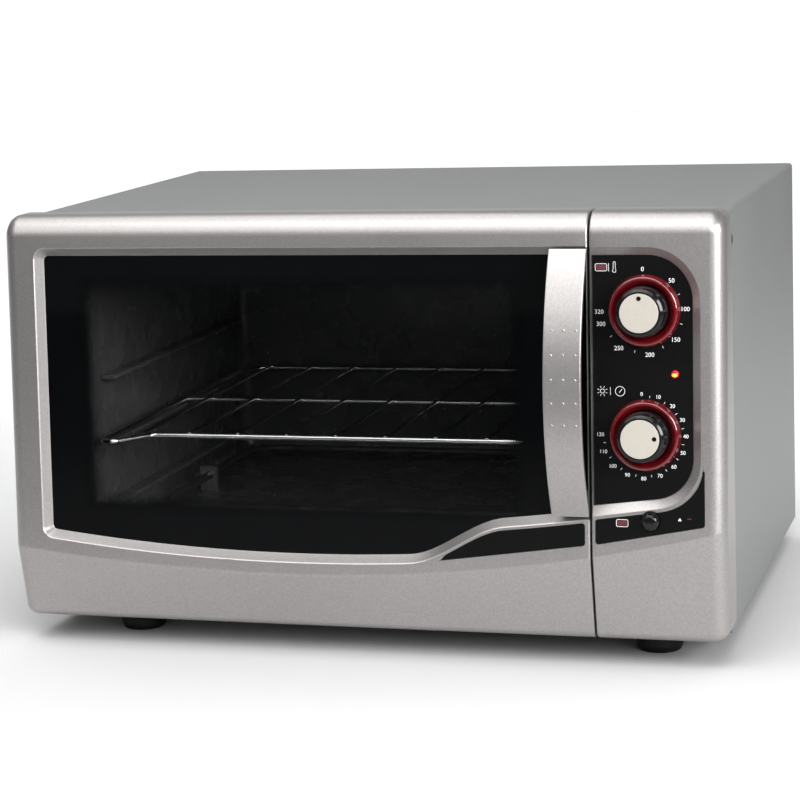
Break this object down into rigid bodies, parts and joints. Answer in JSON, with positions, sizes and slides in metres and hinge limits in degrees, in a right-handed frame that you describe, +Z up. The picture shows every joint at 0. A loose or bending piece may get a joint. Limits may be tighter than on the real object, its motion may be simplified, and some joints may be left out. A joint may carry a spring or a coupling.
{
  "type": "countertop electric oven",
  "caption": "Countertop electric oven with a side-hung glass door, bowed strap handle, control fascia with turn knobs and a push button, and a wire shelf in its cavity.",
  "frame": {"origin": "centre of the outline seen from above, on the surface that the feet stand on", "axes": "+X to the cook's right, -Y towards the cook, +Z up"},
  "size_m": [0.579, 0.466, 0.347],
  "materials": {
    "painted_sheet": "fine grey epoxy powder coat, satin",
    "pearl_silver": "metallic pearl silver paint, satin",
    "black_enamel": "black vitreous enamel with fine white specks",
    "black_gloss": "black, glossy",
    "screw_black": "black oxide",
    "dark_glass": "tempered glass with a black printed border that fades in dots",
    "ruby_plastic": "translucent ruby red, glossy",
    "champagne": "champagne metallic paint, satin",
    "black_rubber": "moulded black rubber",
    "zinc_steel": "zinc plated",
    "chrome_wire": "chromed wire",
    "galvanised": "galvanised sheet",
    "sheath_steel": "dark oxidised sheath",
    "glass_wool": "glass wool blanket",
    "phenolic": "moulded phenolic",
    "ceramic": "glazed steatite",
    "clear_glass": "clear glass",
    "amber_lens": "amber translucent lens",
    "brass": "turned brass"
  },
  "bodies": {
    "root": {"cabinet_wrap": "painted_sheet", "fascia_panel": "pearl_silver", "front_frame": "black_enamel", "cavity_liner": "black_enamel", "upper_insert": "black_gloss", "lower_insert": "black_gloss", "side_screw_left": "screw_black", "side_screw_right": "screw_black", "rear_screw_lower_left": "screw_black", "rear_screw_upper_left": "screw_black", "rear_screw_lower_right": "screw_black", "rear_screw_upper_right": "screw_black", "temperature_ring": "ruby_plastic", "timer_ring": "ruby_plastic", "foot_front_left": "black_rubber", "foot_front_right": "black_rubber", "foot_rear_left": "black_rubber", "foot_rear_right": "black_rubber", "door_catch": "zinc_steel", "lower_hinge_arm": "zinc_steel", "upper_hinge_arm": "zinc_steel", "upper_element_clip": "zinc_steel", "lower_element_clip": "zinc_steel", "thermostat_bulb": "zinc_steel", "thermostat_capillary": "zinc_steel", "timer_bell": "zinc_steel", "base_pan": "galvanised", "rear_cover": "galvanised", "control_partition": "galvanised", "upper_element": "sheath_steel", "lower_element": "sheath_steel", "insulation_blanket": "glass_wool", "thermostat_body": "phenolic", "timer_body": "phenolic", "grill_switch_body": "phenolic", "cord_inlet": "phenolic", "lamp_socket": "ceramic", "terminal_block": "ceramic", "lamp_glass": "clear_glass", "lamp_bulb": "clear_glass", "pilot_lamp": "amber_lens"},
    "door": {"door_frame": "pearl_silver", "door_inner_frame": "black_enamel", "door_glass": "dark_glass", "door_badge": "black_gloss", "handle_strap": "pearl_silver", "handle_screw_lower": "zinc_steel", "handle_screw_upper": "zinc_steel", "door_strike": "zinc_steel", "lower_hinge_bush": "brass", "upper_hinge_bush": "brass"},
    "temperature_control": {"temperature_knob": "black_gloss", "temperature_knob_cap": "champagne", "temperature_shaft": "zinc_steel"},
    "timer_control": {"timer_knob": "black_gloss", "timer_knob_cap": "champagne", "timer_shaft": "zinc_steel"},
    "push_button": {"grill_button": "black_gloss"},
    "rack": {"wire_rack": "chrome_wire"}
  },
  "joints": [
    {"name": "door_hinge", "type": "hinge", "parent": "root", "child": "door", "pos_m": [-0.2825, -0.18147, 0.18], "axis": [0, 0, -1], "range_deg": [0, 100]},
    {"name": "temperature_turn", "type": "hinge", "parent": "root", "child": "temperature_control", "pos_m": [0.2287, -0.20083, 0.2735], "axis": [0, 0.9976, -0.0698], "range_deg": [0, 275]},
    {"name": "timer_turn", "type": "hinge", "parent": "root", "child": "timer_control", "pos_m": [0.2287, -0.20733, 0.1805], "axis": [0, 0.9976, -0.0698], "range_deg": [-88, 187]},
    {"name": "grill_push", "type": "slide", "parent": "root", "child": "push_button", "axis": [0, 0.9976, -0.0698], "range_m": [0, 0.003], "stiffness_N_per_m": 300},
    {"name": "rack_slide", "type": "slide", "parent": "root", "child": "rack", "axis": [0, -1, 0], "range_m": [-0.005, 0.012]}
  ]
}
